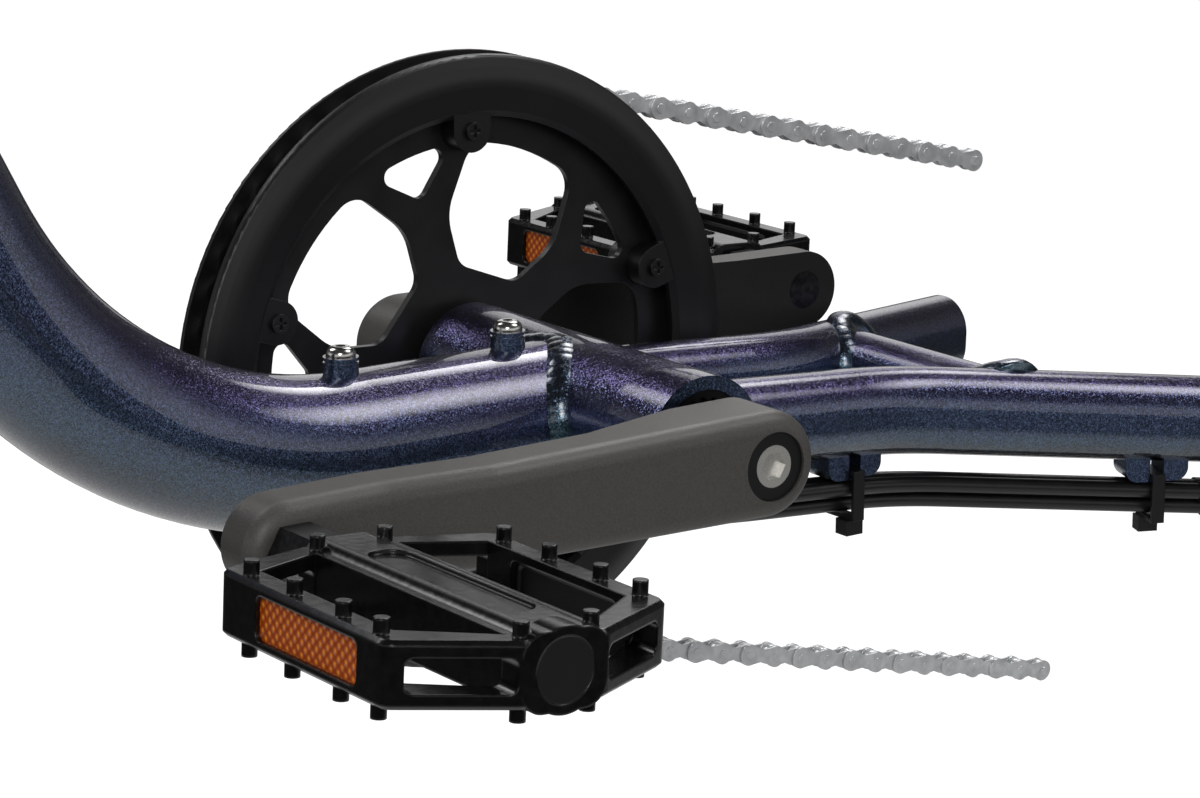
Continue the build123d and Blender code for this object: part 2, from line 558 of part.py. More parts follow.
def pedal_pieces():
    middle = (PEDAL_IN_Y + PEDAL_OUT_Y) / 2
    lens = RectangleRounded(REFLECTOR_L - 2 * SEAT_GAP, REFLECTOR_H - 2 * SEAT_GAP, END_WINDOW_R)
    lens_in = PEDAL_L / 2 - REFLECTOR_SET - REFLECTOR_T
    front = Pos(lens_in, middle, 0) * extrude(Plane.YZ * lens, amount=REFLECTOR_T)
    kit = {
        "body": pedal_cage().solid(),
        "cap": rod(CAP_D, PEDAL_OUT_Y - CAP_H, PEDAL_OUT_Y),
        "reflectors": Compound([front.solid(), mirror(front, about=Plane.YZ).solid()]),
    }
    pieces = {}
    for name, side in SIDES.items():
        place = Pos(side * CRANK_LENGTH, 0, 0) * Rot(0, -PEDAL_TILT_DEG, 0)
        for part, shape in kit.items():
            pieces[f"pedal_{name}_{part}"] = place * mirrored(shape, side)
    return pieces


# Cables

def cable_pieces():
    stay_solid = stay_core(STAY_W, STAY_H, STAY_CORNER_R)
    spread = (CABLE_D + CABLE_GAP) / 2
    below = -STAY_H / 2 - CABLE_DROP
    level = -TUBE_DROP - TUBE_D / 2 - PORT_DROP
    port = Box(PORT_L, PORT_W, PORT_DROP + CABLE_NEST + PORT_H / 2 + TUBE_D / 4,
               align=(Align.MIN, Align.CENTER, Align.MIN))
    port = fillet(port.edges().filter_by(Axis.Z), PORT_H / 3)
    port = Pos(PORT_X, 0, level - CABLE_NEST - PORT_H / 2) * port - main_tube_core(TUBE_D)
    port = port.solids().sort_by(Axis.Z)[0]
    end_y, end_z = stay_axis(CABLE_END_X)
    pieces, ends = {}, []
    # name, place in the bundle across and down, length of the fitting on its rear end
    bundle = (
        ("motor_cable", spread, 0.0, PLUG_L),
        ("brake_hose", -spread, 0.0, FERRULE_L),
        ("light_cable", 0.0, CABLE_NEST, FERRULE_L),
    )
    for name, shift, drop, fitting_l in bundle:
        points = [(PORT_X + PORT_L / 2, shift, level - drop), (PORT_X - PORT_L, shift, level - drop),
                  (-SHELL_D / 2 - PORT_L / 2, STAY_Y + shift, STAY_Z + below - drop - CABLE_DIP),
                  (STAY_BEND_X, STAY_Y + shift, STAY_BEND_Z + below - drop),
                  (CABLE_END_X, end_y + shift, end_z + below - drop)]
        route = FilletPolyline(*points, radius=widest_radii(points[:-1]) + [STAY_BEND_R])
        pieces[name] = along(route, Circle(CABLE_D / 2))
        hole = Pos(PORT_X + PORT_L / 4, shift, level - drop) * Rot(0, 90, 0)
        port -= hole * Cylinder(CABLE_D / 2 + SEAT_GAP, PORT_L / 2 + SEAT_GAP)
        tail = Plane(route @ 1, z_dir=route % 1)
        fitting = tail * extrude(Circle(FITTING_D / 2), amount=fitting_l / 2, both=True)
        ends.append((fitting - tail * extrude(Circle(CABLE_D / 2 + SEAT_GAP), amount=-fitting_l)).solid())
    pieces["cable_port"] = port
    pieces["cable_ends"] = Compound(ends)
    guides, ties = [], []
    wide = 2 * spread + CABLE_D
    for x in GUIDE_X:
        y, z = stay_axis(x)
        turn = degrees(atan2(STAY_END_Y - STAY_Y, SECTION_X - STAY_BEND_X)) if x < STAY_BEND_X else 0
        place = Pos(x, y, z) * Rot(0, 0, turn)
        top = below + CABLE_D / 2 + GUIDE_GAP
        block = Pos(0, 0, top / 2) * Box(GUIDE_L, wide - TIE_T, -top)
        block = fillet(block.edges().filter_by(Axis.Y).group_by(Axis.Z)[0], GUIDE_CORNER_R)
        tunnel = Pos(0, 0, top + GUIDE_FLOOR - top / 2) * Box(TIE_W + TIE_GAP, 2 * wide, -top)
        guide = place * block - stay_solid
        guides.append((guide - place * tunnel).solids().sort_by(Axis.Z)[0])
        low, high = below - CABLE_NEST - CABLE_D / 2 - TIE_GAP, top + GUIDE_FLOOR + SEAT_GAP
        bore = wide + 2 * TIE_GAP
        loop = Box(TIE_W, bore + 2 * TIE_T, high - low + 2 * TIE_T) - Box(TIE_W, bore, high - low)
        head = Box(*TIE_HEAD, align=(Align.CENTER, Align.CENTER, Align.MAX))
        loop += Pos(0, bore / 4, (low - high) / 2 - TIE_T) * head
        ties.append((place * Pos(0, 0, (low + high) / 2) * loop).solid())
    pieces["cable_guides"] = Compound(guides)
    pieces["cable_ties"] = Compound(ties)
    return pieces


def main():
    os.makedirs("parts", exist_ok=True)
    pieces = {}
    for group in (frame_pieces, bottom_bracket_pieces, crankset_pieces, chain_pieces, pedal_pieces, cable_pieces):
        pieces.update(group())
    for name, shape in pieces.items():
        export_step(Pos(*(-TUBE_END)) * shape, f"parts/{name}.step")
    print("origin is", tuple(round(v, 3) for v in TUBE_END), "from the axle;", len(pieces), "nodes")


main()
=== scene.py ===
import json
import math

import bpy
import bmesh
from mathutils import Matrix, Vector


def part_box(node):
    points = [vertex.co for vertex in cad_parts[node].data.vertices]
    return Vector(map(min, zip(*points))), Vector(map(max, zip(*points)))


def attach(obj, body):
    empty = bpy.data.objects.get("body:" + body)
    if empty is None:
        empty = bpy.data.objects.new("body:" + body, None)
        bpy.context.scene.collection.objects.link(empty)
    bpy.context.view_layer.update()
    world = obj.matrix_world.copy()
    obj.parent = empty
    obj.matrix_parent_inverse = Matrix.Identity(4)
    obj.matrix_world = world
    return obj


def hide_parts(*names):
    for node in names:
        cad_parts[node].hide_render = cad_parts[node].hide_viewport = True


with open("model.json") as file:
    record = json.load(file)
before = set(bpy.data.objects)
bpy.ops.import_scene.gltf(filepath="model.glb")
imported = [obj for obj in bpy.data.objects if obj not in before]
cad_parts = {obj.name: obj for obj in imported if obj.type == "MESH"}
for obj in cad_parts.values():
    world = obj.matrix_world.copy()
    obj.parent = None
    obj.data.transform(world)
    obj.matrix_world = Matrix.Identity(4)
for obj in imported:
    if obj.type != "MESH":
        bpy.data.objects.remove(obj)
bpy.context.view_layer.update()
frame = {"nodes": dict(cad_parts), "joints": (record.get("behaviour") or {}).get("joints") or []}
nodes = frame["nodes"]
joints = {joint["name"]: joint for joint in frame["joints"]}
axle = Vector(joints["crank_turn"]["pos_m"])
MM = 0.001


# Frame tubes: aluminium tubes, mitred and welded, then sprayed with a dark base, a colour-shift pearl and
# a gloss clear coat. The pearl turns from violet on top through blue to teal below, and its flakes glitter.
# That turn is drawn by which way a wall faces, with painted shade on the tops and painted light on the
# sides.
def linear(hex_colour):
    parts = [int(hex_colour[i:i + 2], 16) / 255 for i in (1, 3, 5)]
    return [c / 12.92 if c <= 0.04045 else ((c + 0.055) / 1.055) ** 2.4 for c in parts] + [1.0]


def feed(tree, node, inputs):
    for name, value in inputs.items():
        if isinstance(value, bpy.types.NodeSocket):
            tree.links.new(value, node.inputs[name])
        else:
            node.inputs[name].default_value = value


def add(tree, kind, inputs=None, stops=(), **settings):
    node = tree.nodes.new(kind)
    for n, (place, colour) in enumerate(stops):
        if n == len(node.color_ramp.elements):
            node.color_ramp.elements.new(1.0)
        node.color_ramp.elements[n].position = place
        node.color_ramp.elements[n].color = linear(colour)
    for name, value in settings.items():
        setattr(node, name, value)
    feed(tree, node, inputs or {})
    return node


def new_material(name):
    material = bpy.data.materials.new(name)
    material.use_nodes = True
    return material, material.node_tree, material.node_tree.nodes["Principled BSDF"]


def dress(material, *names):
    for name in names:
        for slot in nodes[name].material_slots:
            slot.material = material


FLAKE_MM = 0.35        # real flakes are near 0.05 mm; drawn coarser so that they show
FLAKE_LEAN = 0.35      # how far a flake tips out of the surface
SPARK = (0.4, 1.8)     # the dullest and the brightest flake
DRIFT_MM = 60.0        # patches where the pearl lies thicker
SIDE_HUE = 0.30        # where a wall that faces sideways stands on the pearl's colours
TOP_SHIFT, DRIFT_SHIFT, FLAKE_SHIFT = 0.50, 0.40, 0.30    # what moves it along them
PEARL = ((0.15, "#46414b"), (0.38, "#404b52"), (0.58, "#465972"), (0.78, "#4e5675"), (1.0, "#383350"))
pearl, tree, shader = new_material("pearl_paint_clear_coated")
place = add(tree, "ShaderNodeTexCoord")
surface = add(tree, "ShaderNodeNewGeometry")
upward = add(tree, "ShaderNodeSeparateXYZ", {0: surface.outputs["Normal"]})
drift = add(tree, "ShaderNodeTexNoise",
            {"Vector": place.outputs["Object"], "Scale": 1000 / DRIFT_MM, "Detail": 2.0})
# Colour by which way a wall faces: the pearl's turn with angle, and painted light with it, darker on top and
# lighter at the sides.
facing_hue_and_shade = add(tree, "ShaderNodeMath", {0: upward.outputs["Z"], 1: TOP_SHIFT, 2: SIDE_HUE},
           operation="MULTIPLY_ADD")
shift = add(tree, "ShaderNodeMath", {0: drift.outputs["Fac"], 1: DRIFT_SHIFT, 2: facing_hue_and_shade.outputs[0]},
            operation="MULTIPLY_ADD")
flake = add(tree, "ShaderNodeTexVoronoi", {"Vector": place.outputs["Object"], "Scale": 1000 / FLAKE_MM})
chance = add(tree, "ShaderNodeSeparateColor", {0: flake.outputs["Color"]})
mixed = add(tree, "ShaderNodeMath", {0: chance.outputs[0], 1: FLAKE_SHIFT, 2: shift.outputs[0]},
            operation="MULTIPLY_ADD")
hue = add(tree, "ShaderNodeValToRGB", {0: mixed.outputs[0]}, stops=PEARL)
spark = add(tree, "ShaderNodeMapRange", {0: chance.outputs[1], 3: SPARK[0], 4: SPARK[1]})
tint = add(tree, "ShaderNodeMix", {0: 1.0, 6: hue.outputs[0], 7: spark.outputs[0]},
           data_type="RGBA", blend_type="MULTIPLY")
lean = add(tree, "ShaderNodeVectorMath", {0: flake.outputs["Color"], 1: (0.5, 0.5, 0.5)},
           operation="SUBTRACT")
tilt = add(tree, "ShaderNodeVectorMath",
           {0: lean.outputs[0], 1: (FLAKE_LEAN,) * 3, 2: surface.outputs["Normal"]},
           operation="MULTIPLY_ADD")
level = add(tree, "ShaderNodeVectorMath", {0: tilt.outputs[0]}, operation="NORMALIZE")
feed(tree, shader, {"Base Color": tint.outputs[2], "Normal": level.outputs[0], "Metallic": 0.95,
                    "Roughness": 0.28, "Coat Weight": 1.0, "Coat Roughness": 0.04})
dress(pearl, "main_tube", "bottom_bracket_shell", "chainstay_left", "chainstay_right", "stay_bridge",
      "bottle_bosses", "cable_guides")


# Weld beads: filler run by hand in small steps round each joint of the tubes, so they lie in low ripples.
# Their paint is drawn more teal than the tubes', a painted highlight.
BEAD_R = 9.0 * MM           # a shallow crown
BEAD_RISE = 1.0 * MM        # where the two tubes run flush
BEAD_FILL = 4.2 * MM        # more in a square corner
BEAD_STEP = 4.0 * MM
BEAD_HALF_DEG = 70.0        # the crown's arc, to each side
BEAD_SIDES = 14
RIPPLE = 0.18 * MM
RIPPLE_LEAD = 0.6           # steps that the middle runs ahead of the edges
AXLE_CLEAR = 6.0 * MM       # from the axle's plane, where a tube is taller than the shell
ROUND_POINTS = 720
ROUND = [2 * math.pi * i / ROUND_POINTS for i in range(ROUND_POINTS)]
# Teal pearl tones for the beads, a painted highlight.
BEAD_TEAL_HIGHLIGHT_TONES = ("#40404a", "#3a5057", "#3f5a64", "#425464", "#2e3442")
bead_paint = pearl.copy()
bead_paint.name = "pearl_paint_over_bead"
bead_stops = bead_paint.node_tree.nodes[hue.name].color_ramp.elements
for element, colour in zip(bead_stops, BEAD_TEAL_HIGHLIGHT_TONES):
    element.color = linear(colour)


def bead(name, corner):
    """A bead round a closed corner, given as points with the two tubes' outward directions there."""
    count = len(corner)
    openings = [(out_a + out_b).normalized() for _, out_a, out_b in corner]
    curve = []
    for (point, out_a, _), opening in zip(corner, openings):
        squareness = math.sqrt(max(1 - out_a.dot(opening) ** 2, 0.0))
        curve.append(point + (BEAD_RISE + BEAD_FILL * squareness - BEAD_R) * opening)
    length = [0.0]
    for a, b in zip(curve, curve[1:] + curve[:1]):
        length.append(length[-1] + (b - a).length)
    steps = round(length[-1] / BEAD_STEP)
    points, faces = [], []
    for i, (point, opening) in enumerate(zip(curve, openings)):
        across = (curve[(i + 1) % count] - curve[i - 1]).normalized().cross(opening)
        for k in range(BEAD_SIDES):
            turn = math.radians(-BEAD_HALF_DEG + 2 * BEAD_HALF_DEG * k / (BEAD_SIDES - 1))
            phase = (steps * length[i] / length[-1] + RIPPLE_LEAD * math.cos(turn)) % 1.0
            radius = BEAD_R - RIPPLE * (2 * phase - 1) ** 2
            points.append(point + radius * (math.cos(turn) * opening + math.sin(turn) * across))
        ring, following = i * BEAD_SIDES, (i + 1) % count * BEAD_SIDES
        for k in range(BEAD_SIDES):
            beside = (k + 1) % BEAD_SIDES
            faces.append((ring + k, ring + beside, following + beside, following + k))
    mesh = bpy.data.meshes.new(name)
    mesh.from_pydata(points, [], faces)
    mesh.shade_smooth()
    piece = bpy.data.objects.new(name, mesh)
    bpy.context.collection.objects.link(piece)
    mesh.materials.append(bead_paint)
    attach(piece, "frame")


def shell_corner(centre_y, centre_z, half_w, half_h, side):
    """The corner where a tube meets the shell, in front of it (side 1) or behind it (side -1)."""
    corner = []
    for turn in ROUND:
        z = centre_z + half_h * math.sin(turn)
        x = side * math.sqrt(max(shell_r ** 2 - z ** 2, AXLE_CLEAR ** 2))
        tube_out = Vector((0, math.cos(turn) / half_w, math.sin(turn) / half_h)).normalized()
        shell_out = Vector((x, 0, z)).normalized()
        point = axle + Vector((x, centre_y + half_w * math.cos(turn), z))
        corner.append((point, tube_out, shell_out))
    return corner


shell_low, shell_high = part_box("bottom_bracket_shell")
shell_r = (shell_high.z - shell_low.z) / 2
tube_low, tube_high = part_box("main_tube")
tube_r = (tube_high.y - tube_low.y) / 2
bead("weld_main_tube", shell_corner(0.0, tube_low.z + tube_r - axle.z, tube_r, tube_r, 1))
STAY_BEND = Vector((-112.0, 31.0, -13.5)) * MM      # on the left stay's axis, from the axle
STAY_END = Vector((-236.0, 84.0, -25.0)) * MM
STAY_ROOT_Z = -7.4 * MM
STAY_HALF_W, STAY_HALF_H = 13.0 * MM, 15.0 * MM
rear_run = STAY_END - STAY_BEND
half_across = STAY_HALF_W / abs(rear_run.xy.normalized().x)
bridge_low, bridge_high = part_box("stay_bridge")
bridge = (bridge_low + bridge_high) / 2
bridge_r = (bridge_high.z - bridge_low.z) / 2
for side, hand in ((1, "left"), (-1, "right")):
    bead("weld_stay_" + hand, shell_corner(side * STAY_BEND.y, STAY_ROOT_Z, STAY_HALF_W, STAY_HALF_H, -1))
    corner = []
    for turn in ROUND[::2]:
        bridge_out = Vector((math.cos(turn), 0, math.sin(turn)))
        spot = bridge + bridge_r * bridge_out
        stay = axle + STAY_BEND + rear_run * (spot.x - axle.x - STAY_BEND.x) / rear_run.x
        swell = math.sqrt(max(1 - ((spot.z - stay.z) / STAY_HALF_H) ** 2, 0.0))
        point = Vector((spot.x, side * (stay.y - half_across * swell), spot.z))
        corner.append((point, bridge_out, Vector((0, -side, 0))))
    bead("weld_bridge_" + hand, corner)


# Bottle bosses' screws: cold-headed stainless steel, tumbled bright, so that they mirror the room a little
# unevenly. They close the two bosses.
def mottled(name, spot_mm, detail, tones, roughness, metallic=0.0):
    """A material whose tone and roughness wander together over spots of the given size."""
    material, tree, shader = new_material(name)
    place = add(tree, "ShaderNodeTexCoord")
    spots = add(tree, "ShaderNodeTexNoise",
                {"Vector": place.outputs["Object"], "Scale": 1000 / spot_mm, "Detail": detail})
    tone = add(tree, "ShaderNodeValToRGB", {0: spots.outputs["Fac"]}, stops=zip((0.3, 0.7), tones))
    gloss = add(tree, "ShaderNodeMapRange", {0: spots.outputs["Fac"], 3: roughness[0], 4: roughness[1]})
    feed(tree, shader, {"Base Color": tone.outputs[0], "Roughness": gloss.outputs[0], "Metallic": metallic})
    return material, tree, shader, spots


TUMBLE_MM = 5.0
stainless, *_ = mottled("stainless_steel_tumbled", TUMBLE_MM, detail=3.0, tones=("#b3b2ae", "#cbcac6"),
                        roughness=(0.14, 0.24), metallic=1.0)
dress(stainless, "boss_screws")


# Bottom bracket: two splined aluminium cups, etched and anodised black to a satin sheen, screwed into the
# shell round a ground steel spindle. The pedals' axles are turned from the same steel.
ETCH_MM = 0.8
anodised, *_ = mottled("aluminium_anodised_black", ETCH_MM, detail=2.0, tones=("#111112", "#19191a"),
                       roughness=(0.30, 0.44), metallic=0.5)
dress(anodised, "bb_cup_left", "bb_cup_right")
SCUFF_MM = 2.0
ground, *_ = mottled("steel_ground_blackened", SCUFF_MM, detail=4.0, tones=("#2d2d2f", "#434345"),
                     roughness=(0.25, 0.42), metallic=1.0)
dress(ground, "spindle", "pedal_axle_left", "pedal_axle_right")


# Crank arms: forged aluminium, blasted and coated a warm dark grey, so the sheen is soft and finely grained.
# Each is pressed on a square end of the spindle. The sides that face the frame are painted darker, a painted
# shade.
GRIT_MM = 0.6
CLOUD_MM = 25.0
FRAME_SIDE_PAINTED_SHADE = 0.12      # of the outer sides' tone
coated, tree, shader = new_material("aluminium_blasted_dark_coat")
place = add(tree, "ShaderNodeTexCoord")
grit = add(tree, "ShaderNodeTexNoise",
           {"Vector": place.outputs["Object"], "Scale": 1000 / GRIT_MM, "Detail": 2.0})
cloud = add(tree, "ShaderNodeTexNoise",
            {"Vector": place.outputs["Object"], "Scale": 1000 / CLOUD_MM, "Detail": 3.0})
tone = add(tree, "ShaderNodeValToRGB", {0: grit.outputs["Fac"]},
           stops=((0.35, "#4d4b48"), (0.65, "#575451")))
sheen = add(tree, "ShaderNodeMapRange", {0: cloud.outputs["Fac"], 3: 0.42, 4: 0.54})
spot = add(tree, "ShaderNodeSeparateXYZ", {0: place.outputs["Object"]})
surface = add(tree, "ShaderNodeNewGeometry")
facing = add(tree, "ShaderNodeSeparateXYZ", {0: surface.outputs["Normal"]})
# Painted shade: the sides that face the frame are darkened to a share of the outer sides' tone.
hand = add(tree, "ShaderNodeMath", {0: spot.outputs["Y"]}, operation="SIGN")
outward = add(tree, "ShaderNodeMath", {0: facing.outputs["Y"], 1: hand.outputs[0]}, operation="MULTIPLY")
painted_shade = add(tree, "ShaderNodeMapRange", {0: outward.outputs[0], 1: -0.6, 2: 0.1, 3: FRAME_SIDE_PAINTED_SHADE, 4: 1.0})
coat = add(tree, "ShaderNodeMix", {0: 1.0, 6: tone.outputs[0], 7: painted_shade.outputs[0]},
           data_type="RGBA", blend_type="MULTIPLY")
pits = add(tree, "ShaderNodeBump", {"Height": grit.outputs["Fac"], "Strength": 0.4, "Distance": 0.2 * MM})
feed(tree, shader, {"Base Color": coat.outputs[2], "Roughness": sheen.outputs[0],
                    "Normal": pits.outputs[0], "Metallic": 0.25})
dress(coated, "crank_left", "crank_right")


# Crank bolts: turned steel with a dull zinc plating, fine tool marks and a hexagon socket. Each holds a
# crank on its square. The plating scatters the light, so that the face stays pale from every side.
TURN_MM = 0.5
zinc, *_ = mottled("steel_turned_zinc_plated", TURN_MM, detail=3.0, tones=("#c4c3be", "#dddcd8"),
                   roughness=(0.32, 0.46), metallic=0.8)
dress(zinc, "crank_bolt_left", "crank_bolt_right")


# Chainring: stamped steel plate, riveted to the right crank and dipped in black, which flows to an even
# satin and rounds the stamped edges. The guards' screws have the same coat.
FLOW_MM = 12.0
dipped, tree, shader, _ = mottled("steel_dip_coated_black", FLOW_MM, detail=3.0,
                                  tones=("#101011", "#161617"), roughness=(0.28, 0.42))
rolled = add(tree, "ShaderNodeBevel", {"Radius": 0.4 * MM}, samples=4)
feed(tree, shader, {"Normal": rolled.outputs[0]})
dress(dipped, "chainring", "guard_screws")


# Guard rings: polypropylene with the mould's fine spark-eroded grain, one each side of the chain, held by
# five screws. The dust rings, end caps and cable fittings are moulded the same way.
GRAIN_MM = 0.5
HAZE_MM = 30.0
moulded, tree, shader = new_material("polypropylene_moulded_black")
place = add(tree, "ShaderNodeTexCoord")
grain = add(tree, "ShaderNodeTexNoise",
            {"Vector": place.outputs["Object"], "Scale": 1000 / GRAIN_MM, "Detail": 2.0})
haze = add(tree, "ShaderNodeTexNoise",
           {"Vector": place.outputs["Object"], "Scale": 1000 / HAZE_MM, "Detail": 2.0})
tone = add(tree, "ShaderNodeValToRGB", {0: haze.outputs["Fac"]}, stops=((0.3, "#060607"), (0.7, "#0a0a0b")))
rolled = add(tree, "ShaderNodeBevel", {"Radius": 0.5 * MM}, samples=4)
texture = add(tree, "ShaderNodeBump", {"Height": grain.outputs["Fac"], "Normal": rolled.outputs[0],
                                       "Strength": 0.2, "Distance": 0.1 * MM})
feed(tree, shader, {"Base Color": tone.outputs[0], "Normal": texture.outputs[0], "Roughness": 0.40})
dress(moulded, "guard_inner", "guard_outer", "dust_ring_left", "dust_ring_right", "pedal_left_cap",
      "pedal_right_cap", "cable_port", "cable_ties", "cable_ends")


# Chain: stamped steel plates by turns inside and outside, with riveted pins and hardened rollers. Nickel
# plating and a smear of oil leave it pale and half dull.
PITCH = 12.7 * MM
TEETH = 48
SLOPE = math.radians(13.0)
UPPER_LINKS, LOWER_LINKS = 17, 24
PLATE_R, WAIST = 4.1 * MM, 2.3 * MM
PLATE_T, INNER_GAP = 1.0 * MM, 3.3 * MM
PIN_R, ROLLER_R = 1.8 * MM, 3.85 * MM
PIN_PROUD = 0.3 * MM
PLATE_EDGE, PIN_EDGE = 0.15 * MM, 0.2 * MM      # small roundings
END_HALF_DEG, END_POINTS = 120.0, 21            # a plate's round end
PIN_SIDES, ROLLER_SIDES = 16, 24
SMEAR_MM = 4.0
plated, *_ = mottled("steel_stamped_nickel_plated", SMEAR_MM, detail=4.0, tones=("#c6c8ca", "#e4e5e6"),
                     roughness=(0.26, 0.42), metallic=0.6)

pitch_r = PITCH / 2 / math.sin(math.pi / TEETH)
ring_low, ring_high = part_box("chainring")
chain_y = (ring_low.y + ring_high.y) / 2
wrap = []
for n in range(TEETH // 2 + 1):
    turn = math.pi / 2 + SLOPE - 2 * math.pi * n / TEETH
    wrap.append(Vector((pitch_r * math.cos(turn), 0, pitch_r * math.sin(turn))))
back = Vector((-math.cos(SLOPE), 0, -math.sin(SLOPE))) * PITCH
upper_run = [wrap[0] + n * back for n in range(UPPER_LINKS, 0, -1)]
lower_run = [wrap[-1] + n * back for n in range(1, LOWER_LINKS + 1)]
pins = [axle + Vector((0, chain_y, 0)) + pin for pin in upper_run + wrap + lower_run]
outline = []
for side in (1, -1):
    for i in range(END_POINTS):
        turn = math.radians(-END_HALF_DEG + 2 * END_HALF_DEG * i / (END_POINTS - 1))
        outline.append((side * (PITCH / 2 + PLATE_R * math.cos(turn)), side * PLATE_R * math.sin(turn)))
    outline.append((0.0, side * WAIST))
chain = bmesh.new()


def prism(profile, centre, along, low, high, edge):
    """A flat plate with a small rounded edge: its profile lies in X and Z, its thickness along Y."""
    across = Vector((-along.z, 0, along.x))
    rings = []
    for y, inset in ((low, edge), (low + edge, 0.0), (high - edge, 0.0), (high, edge)):
        ring = []
        for u, v in profile:
            size = math.hypot(u, v)
            shrink = (size - inset) / size
            corner = centre + along * u * shrink + across * v * shrink + Vector((0, y, 0))
            ring.append(chain.verts.new(corner))
        rings.append(ring)
    count = len(profile)
    for lower, upper in zip(rings, rings[1:]):
        for k in range(count):
            face = chain.faces.new((lower[k], lower[(k + 1) % count], upper[(k + 1) % count], upper[k]))
            face.smooth = True
    chain.faces.new(rings[0][::-1])
    chain.faces.new(rings[-1])


for n, (a, b) in enumerate(zip(pins, pins[1:])):
    gap = INNER_GAP / 2 + (PLATE_T if n % 2 else 0.0)
    along = (b - a).normalized()
    for low in (gap, -gap - PLATE_T):
        prism(outline, (a + b) / 2, along, low, low + PLATE_T, PLATE_EDGE)
pin_reach = INNER_GAP / 2 + 2 * PLATE_T + PIN_PROUD
for pin in pins:
    for radius, reach, sides in ((PIN_R, pin_reach, PIN_SIDES), (ROLLER_R, INNER_GAP / 2, ROLLER_SIDES)):
        turns = [2 * math.pi * k / sides for k in range(sides)]
        circle = [(radius * math.cos(turn), radius * math.sin(turn)) for turn in turns]
        prism(circle, pin, Vector((1, 0, 0)), -reach, reach, PIN_EDGE)
bmesh.ops.recalc_face_normals(chain, faces=chain.faces)
mesh = bpy.data.meshes.new("chain")
chain.to_mesh(mesh)
chain.free()
mesh.materials.append(plated)
piece = bpy.data.objects.new("chain", mesh)
bpy.context.collection.objects.link(piece)
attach(piece, "frame")
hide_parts("chain_upper_run", "chain_wrap", "chain_lower_run")


# Pedals: die-cast aluminium cages with a thick black paint, glossy on the flats and rolled over the edges,
# so that every rim catches the light. Each turns on its axle.
PEEL_MM = 3.0
painted, tree, shader, peel = mottled("aluminium_cast_black_paint", PEEL_MM, detail=1.0,
                                      tones=("#0a0a0b", "#0f0f10"), roughness=(0.14, 0.26))
rolled = add(tree, "ShaderNodeBevel", {"Radius": 0.9 * MM}, samples=6)
skin = add(tree, "ShaderNodeBump", {"Height": peel.outputs["Fac"], "Normal": rolled.outputs[0],
                                    "Strength": 0.12, "Distance": 0.3 * MM})
feed(tree, shader, {"Normal": skin.outputs[0]})
dress(painted, "pedal_left_body", "pedal_right_body")


# Reflectors: amber acrylic moulded with small prisms on the back, set in diamonds. Each diamond is painted
# lighter towards its middle, a painted glint. They are glued in pockets of the cage, front and rear.
PRISM_MM = 1.8
acrylic, tree, shader = new_material("acrylic_prism_amber")
place = add(tree, "ShaderNodeTexCoord")
across = add(tree, "ShaderNodeSeparateXYZ", {0: place.outputs["Object"]})
lines = []
for sign in (1.0, -1.0):
    slant = add(tree, "ShaderNodeMath", {0: across.outputs["Z"], 1: sign, 2: across.outputs["Y"]},
                operation="MULTIPLY_ADD")
    wave = add(tree, "ShaderNodeMath", {0: slant.outputs[0], 1: 1000 / PRISM_MM}, operation="MULTIPLY")
    lines.append(add(tree, "ShaderNodeMath", {0: wave.outputs[0], 1: 1.0}, operation="PINGPONG"))
prism_and_glint = add(tree, "ShaderNodeMath", {0: lines[0].outputs[0], 1: lines[1].outputs[0]}, operation="MULTIPLY")
# Painted glint: the amber is lighter towards each diamond's middle; the same pattern bumps the prisms.
tone = add(tree, "ShaderNodeValToRGB", {0: prism_and_glint.outputs[0]},
           stops=((0.0, "#983a08"), (0.45, "#d96c16"), (1.0, "#ffab3e")))
prisms = add(tree, "ShaderNodeBump", {"Height": prism_and_glint.outputs[0], "Strength": 0.5, "Distance": 0.6 * MM})
feed(tree, shader, {"Base Color": tone.outputs[0], "Normal": prisms.outputs[0], "Roughness": 0.30,
                    "Coat Weight": 0.4, "Coat Roughness": 0.05})
dress(acrylic, "pedal_left_reflectors", "pedal_right_reflectors")


# Reflector backs: thin trays, moulded in the same black plastic as the end caps, that close each reflector
# from behind, with a rim pressed into the cage.
PEDAL_TILT = math.radians(3.0)
LENS_BACK = 40.4 * MM       # lens's rear face, from the pedal's axle
TRAY_T, TRAY_RIM = 1.2 * MM, 0.8 * MM
TRAY_HALF_L, TRAY_HALF_H, TRAY_CORNER_R = 24.9 * MM, 6.2 * MM, 2.4 * MM
TRAY_POINTS = 32
tray_outline = []
for k in range(TRAY_POINTS):
    turn = 2 * math.pi * (k + 0.5) / TRAY_POINTS
    along = math.copysign(TRAY_HALF_L - TRAY_CORNER_R, math.cos(turn)) + TRAY_CORNER_R * math.cos(turn)
    up = math.copysign(TRAY_HALF_H - TRAY_CORNER_R, math.sin(turn)) + TRAY_CORNER_R * math.sin(turn)
    tray_outline.append((along, up))
tilt_cos, tilt_sin = math.cos(PEDAL_TILT), math.sin(PEDAL_TILT)
